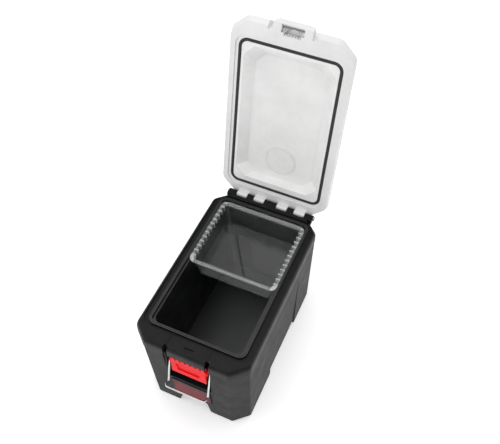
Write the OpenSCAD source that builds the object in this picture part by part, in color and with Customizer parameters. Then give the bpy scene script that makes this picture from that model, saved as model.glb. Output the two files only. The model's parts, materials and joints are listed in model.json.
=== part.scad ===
// Compact hard cooler with a hinged lid, draw latch, lift-out tray and carry handle.
// Frame: +X right, +Y back, +Z up. Origin: centre of the footprint on the floor.

/* [Body] */
// Width of the smooth collar round the top
body_w = 239; // [236:1:242]
// Length of the collar, front to back
body_l = 395; // [392:1:398]
// Height of the collar's deck above the floor
rim_h = 246; // [242:1:252]
// Height of the collar
collar_h = 24; // [22:1:26]
// How much narrower each side of the shell is at the bottom
side_draft = 3; // [1:0.5:4]
// How much further back the front face is at the bottom
front_draft = 10.5; // [6:0.5:12]
// Height of the feet
foot_h = 6; // [4:1:8]

/* [Liner] */
// Width inside the tub at its top
tub_w = 183; // [178:1:183]
// Height of the tub's floor above the floor
tub_floor = 29; // [24:1:40]
// Height of the sealing ridge above the deck
ridge_h = 2; // [1.5:0.1:2.2]

/* [Lid] */
// Width of the lid at its widest
lid_w = 243; // [241:1:245]
// Thickness of the closed lid above the deck
lid_h = 58; // [57:1:62]
// Angle at which the open lid rests on its stop
lid_open = 99.75; // [90:0.25:105]
// Depth of the dish in the lid's inner panel
dish_depth = 19.4; // [14:0.2:20]

/* [Latch] */
// Diameter of the bail's wire
wire_d = 4; // [3:0.5:4]
// Straight length of the bail's legs
bail_leg = 71.8; // [71.4:0.1:72.2]
// How far the bail's bar is offset to hook over the lid
bail_hook = 15.1; // [14.6:0.1:15.4]
// Angle at which the resting bail leans out
bail_lean = 14.5; // [10:0.2:16]
// Number of teeth on the lever's hinge edge
lever_teeth = 7; // [7:1:7]

/* [Handle] */
// Length of the grip
grip_l = 112; // [100:1:114]
// Reach of the handle's arms from the pivots
arm_reach = 72; // [66:1:74]

/* [Tray] */
// Depth of the lift-out tray
tray_depth = 50; // [40:1:60]

/* [Hidden] */
$fn = 64;

eps = 0.1;                    // thin slices that a hull joins
corner_fn = 32;               // roundness of softened outline corners
cut = [26, 24];               // corner cut of the shell, across and along
soft = 6;                     // rounding of the shell's cut corners
collar_cut = [23, 21];
collar_soft = 14;
lid_cut = [19.7, 17.7];
lid_soft = 20;

// heights
collar_z = rim_h - collar_h;
deck_t = 6;
moat_depth = 3;               // of the moat round the ridge
flange_z = rim_h + 1;         // underside of the closed lid
lid_top = rim_h + lid_h;
panel_z = rim_h + ridge_h + 2;  // inner panel of the closed lid

// body outline
front_y = -body_l / 2 + 1;
back_y = body_l / 2 - 1.5;
shell_w = body_w - 3;
wall = 7;

// side panels, front to back and up to their top
panel_front = -56;
panel_back = 82;
panel_top = 190;

// sealing ridge and the moat round it, as [width, front, back]
ridge_out = [203, -159.8, 177.8];
ridge_in = [191.6, -154.2, 172.2];
moat = [224, -166.5, 185];
ridge_r = 16;

// hinge
hinge = [0, 205, rim_h - 7.5];
knuckle_r = 6.5;
pin_r = 2.5;
running = 0.07;               // clearance of a moving bore
fixed = 0.05;                 // clearance of a bore that holds its own pin
// body knuckles, as [centre, width]
body_knuckles = [[-88.5, 19], [-46.5, 15.5], [0, 28.5], [46.5, 15.5], [88.5, 19]];
lid_knuckles = [[-66.6, 23.8], [-26.5, 23.7], [26.5, 23.7], [66.6, 23.8]];

// latch
latch_top = collar_z - 0.5;
latch_h = 99.5;
latch_z = latch_top - latch_h;
latch_w = 99;
latch_front = -193;
pivot = [-188.5, rim_h - 34];     // lever axis, as [y, z]
bail_pivot = [-184.5, rim_h - 53]; // bail axis, as [y, z]
wire_r = wire_d / 2;
leg_x = 43;
lever_w = 81.4;
tooth_w = 6;
tooth_pitch = 10.5;
lug_w = 3.6;
lever_pin_r = 2;
lever_t = 8;
lever_low = rim_h - 94;
slot_w = 8.8;
pad_w = 2 * leg_x - slot_w;
catch_z = rim_h + 16.3;       // shelf of the lid's catch
catch_front = -206.5;
opener_tilt = 40;
opener_foot = [-188.5, rim_h + 3.5]; // lower edge of the opener plate, as [y, z]

// carry handle
handle_axis = [0, rim_h + 46]; // as [y, z] with the lid closed
well = [148, -14, 90, rim_h + 35]; // width, front, back and floor of its recess
handle_pin_r = 4;
arm_t = 10;

// front name plate, measured along the sloping front face
plate_w = 84;
plate_z = [50, 112];

// tilt of the front face
shell_base = foot_h;
front_tilt = atan(front_draft / (collar_z - shell_base));

// Four corner posts of a cut-corner outline; o = [width, front, back]
module outline(o, h, r = soft, c = cut) {
  for (side = [-1, 1], end = [1, 2]) {
    inward = end == 1 ? 1 : -1;
    edge = o[end] + inward * r;
    translate([side * (o[0] / 2 - r), edge + inward * c[1], 0])
      cylinder(r = r, h = h, $fn = corner_fn);
    translate([side * (o[0] / 2 - r - c[0]), edge, 0])
      cylinder(r = r, h = h, $fn = corner_fn);
  }
}

// Solid between two cut-corner outlines at the heights z0 and z1
module loft(lo, z0, hi, z1, r = soft, c = cut) {
  hull() {
    translate([0, 0, z0]) outline(lo, eps, r, c);
    translate([0, 0, z1 - eps]) outline(hi, eps, r, c);
  }
}

// Upright block with true round corners; o = [width, front, back]
module round_block(o, h, r) {
  translate([-o[0] / 2 + r, o[1], 0]) cube([o[0] - 2 * r, o[2] - o[1], h]);
  translate([-o[0] / 2, o[1] + r, 0]) cube([o[0], o[2] - o[1] - 2 * r, h]);
  for (x = [-1, 1] * (o[0] / 2 - r), y = [o[1] + r, o[2] - r])
    translate([x, y, 0]) cylinder(r = r, h = h);
}

// Upright block with plain cut corners
module cut_prism(o, h) {
  x = o[0] / 2;
  linear_extrude(h) polygon([[-x + cut[0], o[1]], [x - cut[0], o[1]], [x, o[1] + cut[1]],
    [x, o[2] - cut[1]], [x - cut[0], o[2]], [-x + cut[0], o[2]], [-x, o[2] - cut[1]],
    [-x, o[1] + cut[1]]]);
}

// The outline o grown by d on every side
function grown(o, d) = [o[0] + 2 * d, o[1] - d, o[2] + d];

// Block between two corners
module block(lo, hi) {
  translate(lo) cube(hi - lo);
}

// Round bar along X, centred at x with length l, at [y, z]
module xbar(x, l, yz, r) {
  translate([x - l / 2, yz[0], yz[1]]) rotate([0, 90, 0]) cylinder(r = r, h = l);
}

// Turns a closed lid's pieces to their resting, open place
module opened() {
  translate(hinge) rotate([-lid_open, 0, 0]) translate(-hinge) children();
}

// Places pieces on the sloping front face: local +Z runs up the face, -Y points out of it
module on_front() {
  translate([0, front_y + front_draft, shell_base]) rotate([front_tilt, 0, 0]) children();
}

// Stacking recess under the front edge, grown by d
module front_recess(d) {
  top = 50 + d;
  translate([0, front_y + 38 + d, 0]) rotate([90, 0, 0]) linear_extrude(60)
    polygon([[-37 - d, -1], [-30 - d, top - 5], [-25 - d, top], [25 + d, top],
      [30 + d, top - 5], [37 + d, -1]]);
}

// ---- Body ----

// Side panels between the front and rear pilasters: wedges that deepen towards the bottom
module side_panels() {
  face = shell_w / 2;
  deep = face - side_draft - 2.6;
  clear = face + 9;
  for (side = [0, 1]) mirror([side, 0, 0]) {
    translate([0, panel_back, 0]) rotate([90, 0, 0]) linear_extrude(panel_back - panel_front)
      polygon([[face - 0.4, panel_top], [clear, panel_top], [clear, 0], [deep, 0], [deep, 8]]);
    block([face - 7.5, panel_front, 0], [clear, panel_back, 16]);
  }
}

module outer_shell() {
  low = [shell_w - 2 * side_draft, front_y + front_draft, back_y];
  high = [shell_w, front_y, back_y];
  spigot = grown(high, -3.6);
  cavity = [low[0] - 2 * wall, low[1] + 4, back_y - 5];
  color("#3a3b3d") difference() {
    union() {
      difference() {
        union() {
          loft(low, shell_base, high, collar_z);
          loft(spigot, collar_z - 1, spigot, rim_h - deck_t - 3.5);
        }
        loft(cavity, shell_base + 3, grown(cavity, -1), rim_h, 4);
        side_panels();
      }
      intersection() {
        front_recess(4);
        block([-60, -183, shell_base + 1], [60, -150, 60]);
      }
    }
    front_recess(0);
    block([-latch_w / 2 - 0.3, front_y - 9, latch_z - 0.3],
      [latch_w / 2 + 0.3, latch_front + 20, rim_h]);
    for (p = foot_screw_places) translate([p[0], p[1], 0])
      cylinder(r = 2 + fixed, h = shell_base + 4);
  }
}

module knuckles(list) {
  for (k = list) xbar(k[0], k[1], [hinge[1], hinge[2]], knuckle_r);
}

module top_collar() {
  mid = [body_w, front_y - 1.5, back_y + 1.5];
  color("#28292b") difference() {
    union() {
      hull() {
        // [height, how much smaller than the widest outline]
        for (s = [[collar_z, 0], [rim_h - 9, 0.4], [rim_h - 3.5, 1.8], [rim_h - eps, 4.6]])
          translate([0, 0, s[0]]) outline(grown(mid, -s[1]), eps, collar_soft, collar_cut);
      }
      knuckles(body_knuckles);
      for (k = body_knuckles)
        block([k[0] - k[1] / 2, back_y - 4, hinge[2] - knuckle_r],
          [k[0] + k[1] / 2, hinge[1], hinge[2] + knuckle_r]);
    }
    // room for the shell's top and the liner's flange
    difference() {
      under = grown([shell_w, front_y, back_y], -3.4);
      translate([0, 0, collar_z - 1]) hull() outline(under, collar_h - deck_t + 1);
      block([-pad_w / 2, front_y - 9, collar_z - 2], [pad_w / 2, latch_front + 6, rim_h]);
    }
    translate([0, 0, collar_z - 1])
      round_block(grown(ridge_out, 0.2), collar_h + 2, ridge_r);
    translate([0, 0, rim_h - moat_depth]) round_block(moat, moat_depth + 1, ridge_r + 8);
    // slots for the bail's legs, and the pad's edges between them and the moat
    for (side = [-1, 1]) {
      block([side * leg_x - slot_w / 2, front_y - 9, collar_z - 1],
        [side * leg_x + slot_w / 2, front_y + 9.5, rim_h + 1]);
      block([side * (leg_x - 0.6) - 0.5, front_y + 9, rim_h - 0.8],
        [side * (leg_x - 0.6) + 0.5, moat[1] - 1, rim_h + 1]);
    }
    // half-moon thumb mark
    intersection() {
      translate([0, -179, rim_h - 2.6]) cylinder(r = 10, h = 4);
      block([-12, -190, rim_h - 3], [12, -179, rim_h + 2]);
    }
    xbar(0, body_w, [hinge[1], hinge[2]], pin_r + fixed);
  }
}

module tub_solid(d, z0, z1) {
  top = grown([tub_w, ridge_in[1] + 3.2, ridge_in[2] - 4.7], d);
  low = grown(top, -6);
  hull() {
    translate([0, 0, z0]) round_block(low, eps, 16 + d);
    translate([0, 0, z1 - eps]) round_block(top, eps, 12 + d);
  }
}

module inner_liner() {
  ledge_z = rim_h - 4.8;
  color("#1e1f21") difference() {
    union() {
      tub_solid(2.5, tub_floor - 3, ledge_z);
      translate([0, 0, ledge_z - 4.3])
        round_block(grown(ridge_out, 5.5), 3, ridge_r + 5.5);
      translate([0, 0, ledge_z - 4.3])
        round_block(ridge_out, rim_h + ridge_h - ledge_z + 4.3, ridge_r);
    }
    tub_solid(0, tub_floor, rim_h);
    translate([0, 0, ledge_z])
      round_block(ridge_in, 20, ridge_r - 5.5);
    // fine line along the top of the ridge
    translate([0, 0, rim_h + ridge_h - 1]) difference() {
      round_block(grown(ridge_out, -2), 2, ridge_r - 2);
      translate([0, 0, -1]) round_block(grown(ridge_out, -3.2), 4, ridge_r - 3.2);
    }
  }
}

module body_foam() {
  cavity = [shell_w - 2 * side_draft - 2 * wall - 1.2, front_y + front_draft + 4.6,
    back_y - 5.6];
  color("#e8dcae") difference() {
    loft(cavity, shell_base + 3.3, grown(cavity, -1), rim_h - 10, 4);
    tub_solid(2.8, tub_floor - 3.3, rim_h);
    front_recess(4.3);
    block([-latch_w / 2 - 0.6, front_y - 9, latch_z - 0.6],
      [latch_w / 2 + 0.6, latch_front + 35.6, rim_h]);
  }
}

foot_screw_places = [for (x = [-49.5, 49.5], y = [-171, -141, 141, 171]) [x, y]];

module feet() {
  color("#303134") difference() {
    for (x = [-1, 1], y = [-1, 1])
      hull() {
        translate([x * 49.5, y * 156, 0]) for (sx = [-1, 1], sy = [-1, 1])
          translate([sx * 7.5, sy * 26, 0]) cylinder(r = 2, h = eps, $fn = 24);
        translate([x * 49.5, y * 156, shell_base - eps]) for (sx = [-1, 1], sy = [-1, 1])
          translate([sx * 9.5, sy * 28, 0]) cylinder(r = 2, h = eps, $fn = 24);
      }
    for (p = foot_screw_places) translate([p[0], p[1], -1]) {
      cylinder(r = 2 + fixed, h = foot_h + 2);
      cylinder(r = 4, h = 3.5);
    }
  }
}

module foot_screws() {
  color("silver") for (p = foot_screw_places) translate([p[0], p[1], 0]) difference() {
    union() {
      translate([0, 0, 1]) cylinder(r = 3.7, h = 1.5);
      translate([0, 0, 1]) cylinder(r = 2, h = shell_base + 2);
    }
    translate([0, 0, 0.5]) cylinder(r = 1.6, h = 1.3, $fn = 6);
  }
}

module name_plate() {
  color("#232426") on_front() difference() {
    block([-plate_w / 2, -2.6, plate_z[0]], [plate_w / 2, -0.05, plate_z[1]]);
    block([-plate_w / 2 + 3, -3, plate_z[0] + 4], [plate_w / 2 - 3, -1.4, plate_z[1] - 8]);
  }
}

module plate_band() {
  color("#8f1f22") on_front()
    block([-plate_w / 2 + 3.2, -2.4, plate_z[0] + 4.2],
      [plate_w / 2 - 3.2, -1.4, plate_z[1] - 8.2]);
}

// ---- Latch ----

module latch_housing() {
  lug_xs = [for (i = [0:lever_teeth - 2]) (i - (lever_teeth - 2) / 2) * tooth_pitch];
  color("#1d1e20") difference() {
    union() {
      difference() {
        block([-latch_w / 2, latch_front, latch_z], [latch_w / 2, latch_front + 35, latch_top]);
        block([-46.3, latch_front - 1, latch_z + 4], [46.3, latch_front + 18, latch_top + 1]);
        block([-36, latch_front - 1, latch_z + 4], [36, latch_front + 30, latch_z + 44]);
      }
      for (x = lug_xs) {
        xbar(x, lug_w, pivot, 4.5);
        block([x - lug_w / 2, pivot[0], pivot[1] - 4.5],
          [x + lug_w / 2, latch_front + 19, pivot[1] + 4.5]);
      }
    }
    xbar(0, lever_w, pivot, lever_pin_r + fixed);
  }
}

module lever_pin() {
  color("silver") xbar(0, 74, pivot, lever_pin_r);
}

module latch_lever() {
  boss_l = 7.7;
  color("#d8232a") difference() {
    union() {
      block([-37, pivot[0] - 4.5, lever_low + lever_t / 2], [37, pivot[0] + 3.5, pivot[1] - 7]);
      xbar(0, 74, [pivot[0] - 0.5, lever_low + lever_t / 2], lever_t / 2);
      for (i = [0:lever_teeth - 1]) {
        x = (i - (lever_teeth - 1) / 2) * tooth_pitch;
        xbar(x, tooth_w, pivot, 4.5);
        block([x - tooth_w / 2, pivot[0] - 4.5, pivot[1] - 9],
          [x + tooth_w / 2, pivot[0] + 4.5, pivot[1]]);
      }
      for (side = [-1, 1])
        xbar(side * (lever_w - boss_l) / 2, boss_l, bail_pivot, 8);
    }
    // finger pocket in the front face
    translate([0, pivot[0] - 2.2, 0]) rotate([90, 0, 0]) linear_extrude(6)
      polygon([[-22, lever_low + 17], [22, lever_low + 17], [27, lever_low + 41],
        [-27, lever_low + 41]]);
    xbar(0, 74.6, pivot, lever_pin_r + running);
    for (side = [-1, 1])
      xbar(side * (lever_w / 2 - 4), 9.5, bail_pivot, wire_r + running);
  }
}

// The bail hangs below its axis, which is at the local origin
module wire_bail() {
  half_bar = 37;
  color("#d9dadc") translate([0, bail_pivot[0], bail_pivot[1]]) rotate([-bail_lean, 0, 0]) {
    for (side = [-1, 1]) {
      xbar(side * (leg_x - 4.6), 9.2, [0, 0], wire_r);
      translate([side * leg_x, 0, 0]) sphere(r = wire_r);
      translate([side * leg_x, 0, -bail_leg]) cylinder(r = wire_r, h = bail_leg);
      translate([side * leg_x, 0, -bail_leg]) sphere(r = wire_r);
      translate([side * leg_x, 0, -bail_leg]) rotate([90, 0, 0])
        cylinder(r = wire_r, h = bail_hook - 6);
      translate([side * half_bar, 6 - bail_hook, -bail_leg]) mirror([side < 0 ? 1 : 0, 0, 0])
        rotate([0, 0, -90]) rotate_extrude(angle = 90) translate([6, 0]) circle(r = wire_r);
    }
    xbar(0, 2 * half_bar, [-bail_hook, -bail_leg], wire_r);
  }
}

// ---- Hinge and lid ----

module hinge_pin() {
  color("silver") {
    xbar(0, 198, [hinge[1], hinge[2]], pin_r);
    for (side = [-1, 1]) xbar(side * 100, 2.4, [hinge[1], hinge[2]], 4.2);
  }
}

// outlines of the closed lid from its underside up, each [[width, front, back], height]
lid_slices = [[[lid_w - 4, -195.5, 207.5], 0], [[lid_w, -202.5, 209.5], 10],
  [[lid_w - 3, -197, 208], 21], [[lid_w - 19, -185, 198], lid_h - 15],
  [[lid_w - 27, -180, 193.5], lid_h - 5], [[lid_w - 35, -176, 190], lid_h - 1]];
foam_low = [lid_w - 18, -184, 198];
foam_top = [lid_w - 38, -172, 186];
panel = grown(ridge_out, 7.6);

// Places pieces on the tilted opener plate: its lower edge lies along local X
module on_opener() {
  translate([0, opener_foot[0], opener_foot[1]]) rotate([-opener_tilt, 0, 0]) children();
}

module lid_shell() {
  color("#eeeeec") opened() {
    difference() {
      union() {
        difference() {
          hull() for (s = lid_slices) translate([0, 0, flange_z + s[1] - (s[1] > 0 ? eps : 0)])
            outline(s[0], eps, lid_soft, lid_cut);
          // space for the foam, and the opening that the inner panel closes
          loft(foam_low, panel_z + 2.6, foam_top, lid_top - 9, 4);
          translate([0, 0, flange_z - 1]) round_block(panel, 20, ridge_r + 7.6);
          // room over the catch for the bail's bar
          block([-47, -220, catch_z - 1], [47, -189, lid_top + 1]);
        }
        block([-well[0] / 2 - 4, well[1] - 4, well[3] - 3],
          [well[0] / 2 + 4, well[2] + 4, lid_top - 6]);
        // catch block with its lip
        block([-pad_w / 2 + 0.8, catch_front, flange_z + 1], [pad_w / 2 - 0.8, -186, catch_z]);
        block([-33, catch_front, catch_z - 1], [33, catch_front + 5.8, catch_z + 3.7]);
        for (k = lid_knuckles) {
          xbar(k[0], k[1], [hinge[1], hinge[2]], knuckle_r);
          block([k[0] - k[1] / 2, hinge[1] - 5, hinge[2]],
            [k[0] + k[1] / 2, hinge[1] + knuckle_r - 1.5, flange_z + 3]);
        }
      }
      // recess for the carry handle
      translate([0, 0, well[3]]) round_block([well[0], well[1], well[2]], 40, 12);
      for (side = [-1, 1])
        xbar(side * (well[0] / 2 + 1), 8.4, handle_axis, handle_pin_r + fixed);
      // notches for the bail's legs
      for (side = [-1, 1])
        block([side * leg_x - 4.9, -220, flange_z - 2], [side * leg_x + 4.9, -189.5, lid_top + 2]);
      // seat of the opener plate, and the hollow behind its mouth
      on_opener() block([-22.2, -12.6, -14], [22.2, 0.3, 1.5]);
      block([-21.5, catch_front + 2.6, flange_z - 1], [21.5, -197.6, flange_z + 10.2]);
      block([-16.5, catch_front + 3.2, flange_z - 2], [16.5, -184.5, catch_z - 3.8]);
      on_opener() for (side = [-1, 1]) translate([side * 19.4, -6, 0])
        cylinder(r = 1.3 + fixed, h = 5);
      xbar(0, body_w, [hinge[1], hinge[2]], pin_r + running);
      // stacking pockets
      for (x = [-1, 1], y = [-1, 1])
        block([x * 49.5 - 12.5, y * 136 - 30, lid_top - 5], [x * 49.5 + 12.5, y * 136 + 30, lid_top + 1]);
    }
    // ribs behind the opener's mouth
    for (i = [0:5])
      block([(i - 2.5) * 5.6 - 0.8, -187.2, flange_z + 1], [(i - 2.5) * 5.6 + 0.8, -184.4, flange_z + 9]);
  }
}

plug_y = 108.5;
dish_out = [184, -147.5, 159.5];
dish_in = [147, -127.5, 155];

module lid_liner() {
  color("#f2f2f0") opened() difference() {
    union() {
      translate([0, 0, panel_z]) round_block(grown(panel, -0.2), 2.5, ridge_r + 7.4);
      loft(grown(dish_out, 2.5), panel_z, grown(dish_in, 2.5), panel_z + dish_depth + 2.5, 8, [18, 18]);
    }
    loft(dish_out, panel_z - eps, dish_in, panel_z + dish_depth, 6, [18, 18]);
    translate([0, plug_y, panel_z]) cylinder(r = 34.2, h = 60);
  }
}

module foam_fill_plug() {
  color("#ececea") opened() translate([0, plug_y, panel_z + dish_depth - 0.5]) difference() {
    cylinder(r = 34, h = 3);
    translate([0, 0, -1]) difference() {
      cylinder(r = 31.8, h = 2.2);
      translate([0, 0, -1]) cylinder(r = 30.3, h = 5);
    }
  }
}

module lid_foam() {
  color("#e8dcae") opened() difference() {
    loft(grown(foam_low, -0.4), panel_z + 3, grown(foam_top, -0.4), lid_top - 9.4, 4);
    translate([0, 0, panel_z]) cut_prism(grown(dish_out, 3.4), dish_depth + 3);
    block([-well[0] / 2 - 5, well[1] - 5, well[3] - 4], [well[0] / 2 + 5, well[2] + 5, lid_top]);
    block([-60, -220, panel_z - 1], [60, -184, lid_top]);
  }
}

// The gasket meets the top of the sealing ridge
gasket_mid = [199.6, -157, 175];
gasket_w = 6.4;
module lid_gasket() {
  color("#1b1b1c") opened() translate([0, 0, panel_z - 1.7]) difference() {
    round_block(grown(gasket_mid, gasket_w / 2), 1.7, 16 + gasket_w / 2);
    translate([0, 0, -1]) round_block(grown(gasket_mid, -gasket_w / 2), 4, 16 - gasket_w / 2);
  }
}

module bottle_opener() {
  color("#b9bcc0") opened() on_opener() difference() {
    block([-22, -12.4, 0], [22, 0, 1.5]);
    intersection() {
      translate([0, 6, -1]) cylinder(r = 16.5, h = 4);
      block([-17, -11, -1], [17, 1, 4]);
    }
    for (side = [-1, 1]) translate([side * 19.4, -6, -1]) cylinder(r = 1.3 + fixed, h = 8);
  }
}

module opener_screws() {
  color("silver") opened() on_opener() for (side = [-1, 1]) translate([side * 19.4, -6, 0]) {
    translate([0, 0, -1]) cylinder(r = 2.3, h = 1);
    translate([0, 0, -1]) cylinder(r = 1.3, h = 5.5);
  }
}

// ---- Carry handle ----

module carry_handle() {
  arm_x = grip_l / 2 + arm_t / 2 + 1;
  bar = [handle_axis[0] + arm_reach, handle_axis[1]];
  color("#26272a") opened() difference() {
    union() {
      for (side = [-1, 1]) {
        xbar(side * arm_x, arm_t, handle_axis, 9);
        xbar(side * arm_x, arm_t, bar, 9);
        block([side * arm_x - arm_t / 2, handle_axis[0], handle_axis[1] - 6],
          [side * arm_x + arm_t / 2, bar[0], handle_axis[1] + 6]);
      }
      xbar(0, 2 * arm_x, bar, 6.5);
    }
    xbar(0, 2 * arm_x + 20, handle_axis, handle_pin_r + running);
  }
}

module handle_grip() {
  bar = [handle_axis[0] + arm_reach, handle_axis[1]];
  color("#c3272b") opened() difference() {
    xbar(0, grip_l, bar, 9.6);
    xbar(0, grip_l + 2, bar, 6.5);
  }
}

module handle_pins() {
  outer_x = well[0] / 2 + 3.5;
  inner_x = grip_l / 2 + 2.5;
  color("silver") opened() for (side = [-1, 1])
    xbar(side * (outer_x + inner_x) / 2, outer_x - inner_x, handle_axis, handle_pin_r);
}

// ---- Tray ----

module tray_solid(d, drop) {
  top = grown([180.5, 4.5, 163.5], d);
  hull() {
    translate([0, 0, rim_h - 4 - drop]) round_block(grown(top, -5), eps, 14 + d);
    translate([0, 0, rim_h - 2 - eps]) round_block(top, eps, 11 + d);
  }
}

tray_ribs = 12;
tray_rib_pitch = 12.4;

module tray_rib_set() {
  for (i = [0:tray_ribs - 1], side = [-1, 1])
    translate([side * 89.9, 15 + i * tray_rib_pitch, rim_h]) {
      block([-4.6, 0, -4.2], [4.6, 2.6, -0.9]);
      translate([side * -2.8, 0, 0]) block([-1.8, 0, -13], [1.8, 2.6, -4]);
    }
}

module organizer_tray() {
  rim = [190.4, -1.5, 170.6];
  color("#cfe6ef", 0.5) {
    difference() {
      union() {
        tray_solid(0, tray_depth);
        translate([0, 0, rim_h - 4.3]) round_block(rim, 2.3, 14);
      }
      tray_solid(-2, tray_depth - 2);
      translate([0, 0, rim_h - 3]) round_block([176.5, 6.5, 161.5], 10, 9);
    }
    tray_rib_set();
  }
}

outer_shell();
top_collar();
inner_liner();
body_foam();
feet();
foot_screws();
latch_housing();
lever_pin();
latch_lever();
wire_bail();
name_plate();
plate_band();
hinge_pin();
lid_shell();
lid_liner();
lid_foam();
lid_gasket();
foam_fill_plug();
bottle_opener();
opener_screws();
carry_handle();
handle_grip();
handle_pins();
organizer_tray();
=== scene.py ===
"""Looks for a compact hard cooler: an open white lid, a black case, a red draw latch and a clear tray."""

import json
import math

import bmesh
import bpy
from mathutils import Matrix, Vector


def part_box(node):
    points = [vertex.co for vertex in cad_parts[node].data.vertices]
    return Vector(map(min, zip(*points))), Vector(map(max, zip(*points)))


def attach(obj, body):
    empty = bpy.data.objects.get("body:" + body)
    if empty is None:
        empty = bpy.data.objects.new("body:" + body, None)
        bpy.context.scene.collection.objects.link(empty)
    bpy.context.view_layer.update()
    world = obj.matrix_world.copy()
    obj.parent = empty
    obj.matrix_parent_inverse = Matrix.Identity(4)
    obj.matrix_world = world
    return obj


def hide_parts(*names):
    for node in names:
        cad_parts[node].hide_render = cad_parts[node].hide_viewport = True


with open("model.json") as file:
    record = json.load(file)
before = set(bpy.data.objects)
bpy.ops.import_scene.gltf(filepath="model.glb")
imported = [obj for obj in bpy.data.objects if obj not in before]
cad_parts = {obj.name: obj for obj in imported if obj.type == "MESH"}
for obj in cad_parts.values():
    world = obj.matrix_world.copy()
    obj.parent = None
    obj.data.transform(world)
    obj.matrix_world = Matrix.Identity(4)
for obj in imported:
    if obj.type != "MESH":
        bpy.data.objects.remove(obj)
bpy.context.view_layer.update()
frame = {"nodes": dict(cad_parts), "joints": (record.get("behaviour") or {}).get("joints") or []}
scene = bpy.context.scene
nodes = frame["nodes"]
joints = {j["name"]: j for j in frame["joints"]}


# ---- camera ----

AZIMUTH, ELEVATION = math.radians(24.0), math.radians(51.9)
BACK = Vector((
    math.sin(AZIMUTH) * math.cos(ELEVATION),
    -math.cos(AZIMUTH) * math.cos(ELEVATION),
    math.sin(ELEVATION),
))
camera_data = bpy.data.cameras.new("camera")
camera_data.lens, camera_data.sensor_width = 48.4, 36.0
camera_data.clip_start, camera_data.clip_end = 0.05, 50
camera = bpy.data.objects.new("camera", camera_data)
camera.location = (0.3368, -0.6612, 1.3606)
camera.rotation_mode = "QUATERNION"
camera.rotation_quaternion = (-BACK).to_track_quat("-Z", "Y")
scene.collection.objects.link(camera)
scene.camera = camera


# ---- materials ----


class Maker:
    """A Principled material with short calls for its procedural nodes."""

    def __init__(self, name, **sockets):
        self.material = bpy.data.materials.new(name)
        self.material.use_nodes = True
        self.tree = self.material.node_tree
        self.shader = self.tree.nodes["Principled BSDF"]
        for key, value in sockets.items():
            self.shader.inputs[key.replace("_", " ")].default_value = value
        self.place = self.tree.nodes.new("ShaderNodeTexCoord").outputs["Object"]

    def node(self, kind, **settings):
        made = self.tree.nodes.new(kind)
        for key, value in settings.items():
            setattr(made, key, value)
        return made

    def link(self, out, into):
        self.tree.links.new(out, into)

    def stretched(self, scale):
        mapping = self.node("ShaderNodeMapping")
        self.link(self.place, mapping.inputs["Vector"])
        mapping.inputs["Scale"].default_value = scale
        return mapping.outputs["Vector"]

    def noise(self, scale, detail=3.0, rough=0.55, place=None):
        made = self.node("ShaderNodeTexNoise")
        self.link(place or self.place, made.inputs["Vector"])
        made.inputs["Scale"].default_value = scale
        made.inputs["Detail"].default_value = detail
        made.inputs["Roughness"].default_value = rough
        return made.outputs["Fac"]

    def cells(self, scale, place=None):
        made = self.node("ShaderNodeTexVoronoi", feature="SMOOTH_F1")
        self.link(place or self.place, made.inputs["Vector"])
        made.inputs["Scale"].default_value = scale
        return made.outputs["Distance"]

    def span(self, value, low, high, to_low, to_high):
        made = self.node("ShaderNodeMapRange")
        self.link(value, made.inputs["Value"])
        for key, number in zip(("From Min", "From Max", "To Min", "To Max"), (low, high, to_low, to_high)):
            made.inputs[key].default_value = number
        return made.outputs["Result"]

    def math(self, operation, a, b):
        made = self.node("ShaderNodeMath", operation=operation)
        for socket, value in zip(made.inputs, (a, b)):
            if isinstance(value, (int, float)):
                socket.default_value = value
            else:
                self.link(value, socket)
        return made.outputs["Value"]

    def mix(self, factor, a, b):
        made = self.node("ShaderNodeMix", data_type="RGBA")
        self.link(factor, made.inputs[0])
        for socket, value in ((made.inputs[6], a), (made.inputs[7], b)):
            if isinstance(value, tuple):
                socket.default_value = (*value, 1.0)
            else:
                self.link(value, socket)
        return made.outputs[2]

    def edges(self, low=0.505, high=0.56):
        """1 on worn convex edges, broken up by noise, else 0."""
        pointed = self.node("ShaderNodeNewGeometry").outputs["Pointiness"]
        broken = self.span(self.noise(90, 4), 0.35, 0.65, 0.0, 1.0)
        return self.math("MULTIPLY", self.span(pointed, low, high, 0.0, 1.0), broken)

    def bumps(self, *layers):
        """layers: (height socket, depth in metres, strength)."""
        last = None
        for height, depth, strength in layers:
            bump = self.node("ShaderNodeBump")
            bump.inputs["Distance"].default_value = depth
            bump.inputs["Strength"].default_value = strength
            self.link(height, bump.inputs["Height"])
            if last is not None:
                self.link(last, bump.inputs["Normal"])
            last = bump.outputs["Normal"]
        self.link(last, self.shader.inputs["Normal"])


def shade(color, factor):
    return tuple(c * factor for c in color)


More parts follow.
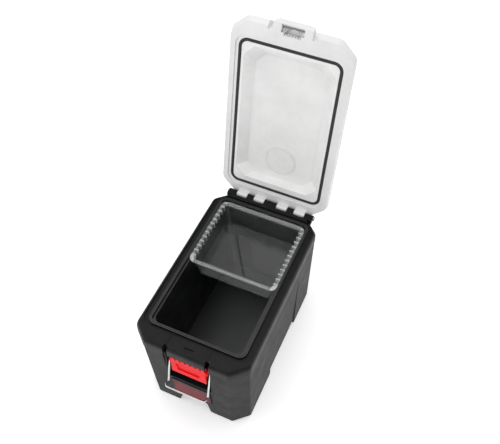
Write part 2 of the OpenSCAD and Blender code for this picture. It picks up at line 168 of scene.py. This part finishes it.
def moulded(name, color, roughness, grain=0.0, scale=1400, worn=1.5, dirt=0.0, **sockets):
    """Moulded plastic or rubber: grain, mottled colour, uneven gloss, light wear on edges."""
    m = Maker(name, **sockets)
    tone = m.mix(m.span(m.noise(9, 5, 0.6), 0.3, 0.7, 0, 1), shade(color, 0.90), shade(color, 1.10))
    speck = m.mix(m.span(m.noise(700, 2), 0.35, 0.65, 0, 1), tone, shade(color, 1.06))
    fine = m.mix(m.span(m.noise(240, 3), 0.45, 0.75, 0, 0.5), tone, speck)
    worn_color = tuple(min(1.0, c * worn + 0.012) for c in color)
    whole = m.mix(m.span(m.edges(), 0, 1, 0, 0.55), fine, worn_color)
    if dirt:
        low = m.span(m.noise(30, 6, 0.7), 0.52, 0.75, 0, dirt)
        whole = m.mix(low, whole, shade(color, 0.72))
    m.link(whole, m.shader.inputs["Base Color"])
    gloss = m.span(m.noise(26, 5, 0.65), 0.3, 0.7, roughness - 0.06, roughness + 0.06)
    m.link(gloss, m.shader.inputs["Roughness"])
    layers = [(m.noise(14, 2), 0.0006, 0.10)]
    if grain:
        layers.append((m.cells(scale), 0.00022, grain))
        layers.append((m.noise(scale * 1.7, 3), 0.0001, grain * 0.8))
    else:
        layers.append((m.noise(2600, 2), 0.00004, 0.12))
    m.bumps(*layers)
    return m.material


def metal(name, color, roughness, along=(1, 1, 1), lines=0.15, **sockets):
    """Bare or plated metal: fine drawn lines, faint smudges and uneven gloss."""
    m = Maker(name, Metallic=1.0, **sockets)
    smudge = m.span(m.noise(60, 5, 0.65), 0.35, 0.7, 0, 1)
    m.link(m.mix(smudge, shade(color, 0.88), color), m.shader.inputs["Base Color"])
    drawn = m.noise(1.0, 2, place=m.stretched(tuple(a * 900 for a in along)))
    rough = m.math("ADD", m.span(smudge, 0, 1, roughness, roughness * 1.8), m.span(drawn, 0.3, 0.7, 0, 0.05))
    m.link(rough, m.shader.inputs["Roughness"])
    m.bumps((drawn, 0.00005, lines), (m.noise(45, 2), 0.0002, 0.05))
    return m.material


RIM_DEPTH, RIM_FADE = 0.0040, 0.0015
RIB_FIRST, RIB_PITCH, RIB_WIDTH = 0.015, 0.0124, 0.0027
RIB_IN, RIB_DEPTH = 0.0848, 0.0135


def clear(name, rim_height):
    """Clear moulded plastic with a painted highlight: less clear and whiter in its thick rim and its ribs along both
    sides.
    """
    m = Maker(name, IOR=1.49, Specular_IOR_Level=0.5)
    haze = m.span(m.noise(40, 5, 0.7), 0.45, 0.8, 0, 1)
    m.link(m.mix(haze, (0.97, 0.985, 0.99), (0.93, 0.95, 0.96)), m.shader.inputs["Base Color"])
    m.link(m.span(m.noise(70, 5, 0.7), 0.35, 0.75, 0.02, 0.05), m.shader.inputs["Roughness"])
    axes = m.node("ShaderNodeSeparateXYZ")
    m.link(m.place, axes.inputs["Vector"])
    # painted highlight: a band at the top of the rim and the ribs along both sides get less transmission, so they
    # show whiter, standing in for the highlights along them
    rim = m.span(axes.outputs["Z"], rim_height - RIM_DEPTH - RIM_FADE, rim_height - RIM_DEPTH, 0.0, 1.0)
    along = m.math("MODULO", m.math("SUBTRACT", axes.outputs["Y"], RIB_FIRST), RIB_PITCH)
    out = m.math("GREATER_THAN", m.math("ABSOLUTE", axes.outputs["X"], 0.0), RIB_IN)
    high = m.math("GREATER_THAN", axes.outputs["Z"], rim_height - RIB_DEPTH)
    rib = m.math("MULTIPLY", m.math("LESS_THAN", along, RIB_WIDTH), m.math("MULTIPLY", out, high))
    rim_rib_painted_highlight = m.math("ADD", m.math("MULTIPLY", rim, 0.13), m.math("MULTIPLY", rib, 0.30))
    m.link(m.math("SUBTRACT", m.span(haze, 0, 1, 0.985, 0.965), rim_rib_painted_highlight), m.shader.inputs["Transmission Weight"])
    m.bumps((m.noise(22, 2), 0.0001, 0.02))
    return m.material


tray_top = max(v.co.z for v in nodes["organizer_tray"].data.vertices)
DARK = (0.0055, 0.0057, 0.0064)
DULL = {"Specular_IOR_Level": 0.16}
MATERIALS = {
    "case_grain": moulded("case_grain", (0.0135, 0.0138, 0.0146), 0.54, grain=0.42, scale=1500, dirt=0.25, **DULL),
    "collar_satin": moulded("collar_satin", DARK, 0.38, grain=0.10, scale=2600, **DULL),
    "liner_satin": moulded("liner_satin", (0.0065, 0.0066, 0.0072), 0.36, grain=0.08, scale=2200),
    "latch_black": moulded("latch_black", (0.008, 0.0082, 0.009), 0.42, grain=0.15, scale=2400, **DULL),
    "lever_red": moulded("lever_red", (0.80, 0.008, 0.011), 0.36, grain=0.06, scale=2600, worn=1.2,
                         Specular_IOR_Level=0.1),
    "band_red": moulded("band_red", (0.14, 0.006, 0.010), 0.46, grain=0.20, scale=2000, worn=1.3, **DULL),
    "grip_red": moulded("grip_red", (0.50, 0.012, 0.018), 0.58, grain=0.35, scale=1300, worn=1.2),
    "lid_white": moulded("lid_white", (0.77, 0.77, 0.767), 0.46, grain=0.16, scale=1700, worn=1.0, dirt=0.05),
    "panel_white": moulded("panel_white", (0.84, 0.84, 0.835), 0.34, grain=0.05, scale=2400, worn=1.0, dirt=0.04),
    "gasket": moulded("gasket", (0.014, 0.014, 0.015), 0.55, grain=0.22, scale=1900),
    "foot_rubber": moulded("foot_rubber", (0.022, 0.022, 0.023), 0.68, grain=0.35, scale=1200, dirt=0.4),
    "foam": moulded("foam", (0.80, 0.70, 0.42), 0.85, grain=0.8, scale=700),
    "chrome": metal("chrome", (0.74, 0.745, 0.76), 0.09, along=(1, 1, 0.06), lines=0.05),
    "steel": metal("steel", (0.34, 0.345, 0.36), 0.22, along=(0.05, 1, 1), lines=0.25),
    "pin_steel": metal("pin_steel", (0.52, 0.53, 0.55), 0.28, along=(0.05, 1, 1), lines=0.2),
    "clear": clear("clear", tray_top),
}
FINISH = {
    "outer_shell": "case_grain", "top_collar": "collar_satin", "inner_liner": "liner_satin",
    "body_foam": "foam", "feet": "foot_rubber", "foot_screws": "pin_steel",
    "latch_housing": "latch_black", "lever_pin": "pin_steel", "latch_lever": "lever_red",
    "wire_bail": "chrome", "name_plate": "latch_black", "plate_band": "band_red",
    "hinge_pin": "pin_steel", "lid_shell": "lid_white", "lid_liner": "panel_white",
    "lid_foam": "foam", "lid_gasket": "gasket", "foam_fill_plug": "panel_white",
    "bottle_opener": "steel", "opener_screws": "pin_steel", "carry_handle": "collar_satin",
    "handle_grip": "grip_red", "handle_pins": "pin_steel", "organizer_tray": "clear",
}


def dress(obj, finish):
    obj.data.materials.clear()
    obj.data.materials.append(MATERIALS[finish])


def soften(obj, width, segments=2, angle=32):
    """Joins split corners, then rounds the sharp edges of a CAD node."""
    obj.modifiers.new("weld", "WELD").merge_threshold = 1e-6
    bevel = obj.modifiers.new("bevel", "BEVEL")
    bevel.width, bevel.segments = width, segments
    bevel.limit_method, bevel.angle_limit = "ANGLE", math.radians(angle)
    bevel.use_clamp_overlap = True
    bevel.miter_outer = "MITER_ARC"
    even = obj.modifiers.new("even", "WEIGHTED_NORMAL")
    even.keep_sharp = True


SOFT = {
    "outer_shell": 0.0012, "top_collar": 0.0008, "inner_liner": 0.0005, "latch_housing": 0.0007,
    "name_plate": 0.0005, "plate_band": 0.0003,
    "lid_liner": 0.0008, "carry_handle": 0.0008, "feet": 0.0004,
}
for name, finish in FINISH.items():
    part = nodes[name]
    dress(part, finish)
    if "custom_normal" in part.data.attributes:
        part.data.attributes.remove(part.data.attributes["custom_normal"])
    for polygon in part.data.polygons:
        polygon.use_smooth = True
    if name in SOFT:
        soften(part, SOFT[name])
    else:
        part.data.set_sharp_from_angle(angle=math.radians(35))


# ---- detail pieces that replace plain CAD solids ----


def build(name, maker, body, finish, slot, *replaced, smooth=True):
    mesh = bpy.data.meshes.new(name)
    bmesh.ops.recalc_face_normals(maker, faces=maker.faces)
    maker.to_mesh(mesh)
    maker.free()
    for polygon in mesh.polygons:
        polygon.use_smooth = smooth
    obj = bpy.data.objects.new(name, mesh)
    scene.collection.objects.link(obj)
    obj.data.materials.append(MATERIALS[finish])
    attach(obj, body)
    if replaced:
        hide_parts(*replaced)
    return obj


def sweep(maker, rings, closed=False):
    """Skins rings of points, each a list of Vectors of the same length, and caps an open run's ends."""
    made = [[maker.verts.new(p) for p in ring] for ring in rings]
    count = len(rings[0])
    pairs = list(zip(made, made[1:])) + ([(made[-1], made[0])] if closed else [])
    for a, b in pairs:
        for i in range(count):
            j = (i + 1) % count
            maker.faces.new((a[i], a[j], b[j], b[i]))
    if not closed:
        maker.faces.new(made[0])
        maker.faces.new(list(reversed(made[-1])))


def arc(centre, a, b, start, end, steps):
    """Points from centre + a cos t + b sin t."""
    return [centre + a * math.cos(t) + b * math.sin(t)
            for t in (start + (end - start) * i / steps for i in range(steps + 1))]


def tube_rings(points, radius, sides):
    """Circles square to a path, carried along it without twisting."""
    rings, side = [], None
    last = len(points) - 1
    for i, p in enumerate(points):
        before = points[i - 1] if i else p
        after = points[i + 1] if i < last else p
        along = (after - before).normalized()
        if side is None:
            side = along.orthogonal().normalized()
        side = (side - along * side.dot(along)).normalized()
        other = along.cross(side)
        r = radius[i] if isinstance(radius, list) else radius
        rings.append([p + (side * math.cos(t) + other * math.sin(t)) * r
                      for t in (2 * math.pi * k / sides for k in range(sides))])
    return rings


hinge = Vector(joints["lid_hinge"]["pos_m"])
opened_by = math.radians(joints["lid_hinge"]["range_deg"][0])
TO_OPEN = Matrix.Translation(hinge) @ Matrix.Rotation(opened_by, 4, "X") @ Matrix.Translation(-hinge)
TO_CLOSED = TO_OPEN.inverted()


def closed_box(node):
    """A lid node's box in the closed lid's place."""
    points = [TO_CLOSED @ v.co for v in nodes[node].data.vertices]
    return (Vector(min(p[i] for p in points) for i in range(3)),
            Vector(max(p[i] for p in points) for i in range(3)))


def rounded_loop(low, high, radius, steps=10):
    """Points and outward directions round a rounded rectangle in X and Y."""
    loop = []
    corners = ((high.x - radius, high.y - radius, 0), (low.x + radius, high.y - radius, 1),
               (low.x + radius, low.y + radius, 2), (high.x - radius, low.y + radius, 3))
    for x, y, quarter in corners:
        for i in range(steps + 1):
            t = math.pi / 2 * (quarter + i / steps)
            out = Vector((math.cos(t), math.sin(t), 0))
            loop.append((Vector((x, y, 0)) + out * radius, out))
    return loop


GASKET_WIDTH, GASKET_CORNER = 0.0064, 0.016


def make_gasket():
    """A bulb seal with a lip on each side, swept round the lid."""
    low, high = closed_box("lid_gasket")
    width, depth = GASKET_WIDTH, high.z - low.z
    inset = Vector((width / 2, width / 2, 0))
    middle = rounded_loop(low + inset, high - inset, GASKET_CORNER)
    profile = [(-0.5, 0.0), (-0.5, -0.28), (-0.40, -0.50), (-0.30, -0.42), (-0.22, -0.72), (-0.10, -0.95),
               (0.0, -1.0), (0.10, -0.95), (0.22, -0.72), (0.30, -0.42), (0.40, -0.50), (0.5, -0.28), (0.5, 0.0)]
    rings = [[TO_OPEN @ (p + out * (a * width) + Vector((0, 0, high.z + b * depth))) for a, b in profile]
             for p, out in middle]
    maker = bmesh.new()
    sweep(maker, rings, closed=True)
    return build("gasket_bulb", maker, "lid", "gasket", "gasket_rubber", "lid_gasket")


WIRE_RADIUS, WIRE_END = 0.002, 0.0339
BAIL_LEG, BAIL_HOOK, BAIL_LEAN = 0.0718, 0.0151, math.radians(14.5)
# bends of the wire: at the lever's boss, at the foot of a leg, and at the bar's ends
BOSS_BEND, FOOT_BEND, BAR_BEND = 0.0021, 0.004, 0.006


def make_bail():
    """The bail as one bent wire with round corners."""
    pivot = Vector(joints["bail_pivot"]["pos_m"])
    r, bend, lean = WIRE_RADIUS, BAR_BEND, BAIL_LEAN
    leg_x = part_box("wire_bail")[1].x - r
    down = Vector((0, -math.sin(lean), -math.cos(lean)))
    out = Vector((0, -math.cos(lean), math.sin(lean)))
    leg, hook = BAIL_LEG, BAIL_HOOK
    points = []
    for side in (-1, 1):
        x = Vector((side, 0, 0))
        top, foot = pivot + x * leg_x, pivot + x * leg_x + down * leg
        half = [pivot + x * WIRE_END]
        half += arc(top + (down - x) * BOSS_BEND, -down * BOSS_BEND, x * BOSS_BEND, 0, math.pi / 2, 6)
        half += [top + down * (leg * k / 4) for k in (1, 2, 3)]
        half += arc(foot + (out - down) * FOOT_BEND, -out * FOOT_BEND, down * FOOT_BEND, 0, math.pi / 2, 6)
        half += arc(foot - x * bend + out * (hook - bend), x * bend, out * bend, 0, math.pi / 2, 8)
        half += [foot - x * (leg_x * 0.5) + out * hook]
        points = half if side < 0 else points + list(reversed(half))
    maker = bmesh.new()
    sweep(maker, tube_rings(points, r * 0.995, 20))
    return build("bail_wire", maker, "wire_bail", "chrome", "chrome_wire", "wire_bail")


def make_grip():
    """A soft grip with flared ends and shallow rings."""
    low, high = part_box("handle_grip")
    centre, length = (low + high) / 2, high.x - low.x
    full = (high.z - low.z) / 2
    flare_at, flare_width, smooth_end, ring_pitch, ring_share, end_round = 0.004, 0.003, 0.010, 0.0046, 0.035, 0.0012
    maker = bmesh.new()
    stations = 140
    points, radii = [], []
    for i in range(stations + 1):
        t = i / stations
        x = low.x + length * t
        end = min(t, 1 - t) * length
        radius = full * (0.90 + 0.10 * math.exp(-((end - flare_at) / flare_width) ** 2))
        if end > smooth_end:
            radius *= 1 - ring_share * (0.5 + 0.5 * math.cos(2 * math.pi * (t * length) / ring_pitch))
        if end < end_round:
            radius -= end_round - end
        points.append(Vector((x, centre.y, centre.z)))
        radii.append(radius)
    sweep(maker, tube_rings(points, radii, 32))
    return build("soft_grip", maker, "carry_handle", "grip_red", "grip_red", "handle_grip")


make_gasket()
make_bail()
make_grip()


# ---- floor and light ----


def ground(name, size, height, finish):
    """A flat square of half width size, lying at height."""
    mesh = bpy.data.meshes.new(name)
    maker = bmesh.new()
    bmesh.ops.create_grid(maker, x_segments=8, y_segments=8, size=size)
    maker.to_mesh(mesh)
    maker.free()
    obj = bpy.data.objects.new(name, mesh)
    obj.location.z = height
    scene.collection.objects.link(obj)
    obj.data.materials.append(finish)
    return obj


paper = Maker("floor_paper")
paper.link(paper.mix(paper.noise(3, 3), (0.95, 0.95, 0.95), (0.97, 0.97, 0.97)), paper.shader.inputs["Base Color"])
paper.link(paper.span(paper.noise(20, 3), 0.3, 0.7, 0.7, 0.8), paper.shader.inputs["Roughness"])
paper.shader.inputs["Emission Color"].default_value = (1, 1, 1, 1)
paper.shader.inputs["Emission Strength"].default_value = 0.36
ground("floor", 6, -0.0002, paper.material)


def lamp(name, place, target, size, power, color=(1, 1, 1)):
    data = bpy.data.lights.new(name, "AREA")
    data.shape, data.size, data.size_y = "RECTANGLE", size[0], size[1]
    data.energy, data.color = power, color
    obj = bpy.data.objects.new(name, data)
    obj.location = place
    obj.rotation_mode = "QUATERNION"
    obj.rotation_quaternion = (Vector(target) - Vector(place)).to_track_quat("-Z", "Y")
    scene.collection.objects.link(obj)


CENTRE = (0, 0.05, 0.25)  # what the lamps point at
lamp("overhead", (-0.3, 0.1, 2.4), CENTRE, (2.0, 2.0), 17)
lamp("front_high", (0.5, -2.4, 1.9), CENTRE, (1.6, 1.2), 6.5)
lamp("front_left", (-2.0, -1.6, 1.4), CENTRE, (1.2, 1.4), 7)
lamp("front_right", (2.0, -1.2, 1.0), CENTRE, (0.8, 1.4), 2)
lamp("behind", (0.4, 2.2, 1.8), CENTRE, (2.0, 1.0), 9)

world = bpy.data.worlds.new("studio")
scene.world = world
world.use_nodes = True
world.node_tree.nodes["Background"].inputs["Color"].default_value = (1, 1, 1, 1)
world.node_tree.nodes["Background"].inputs["Strength"].default_value = 0.62
scene.view_settings.view_transform = "Standard"
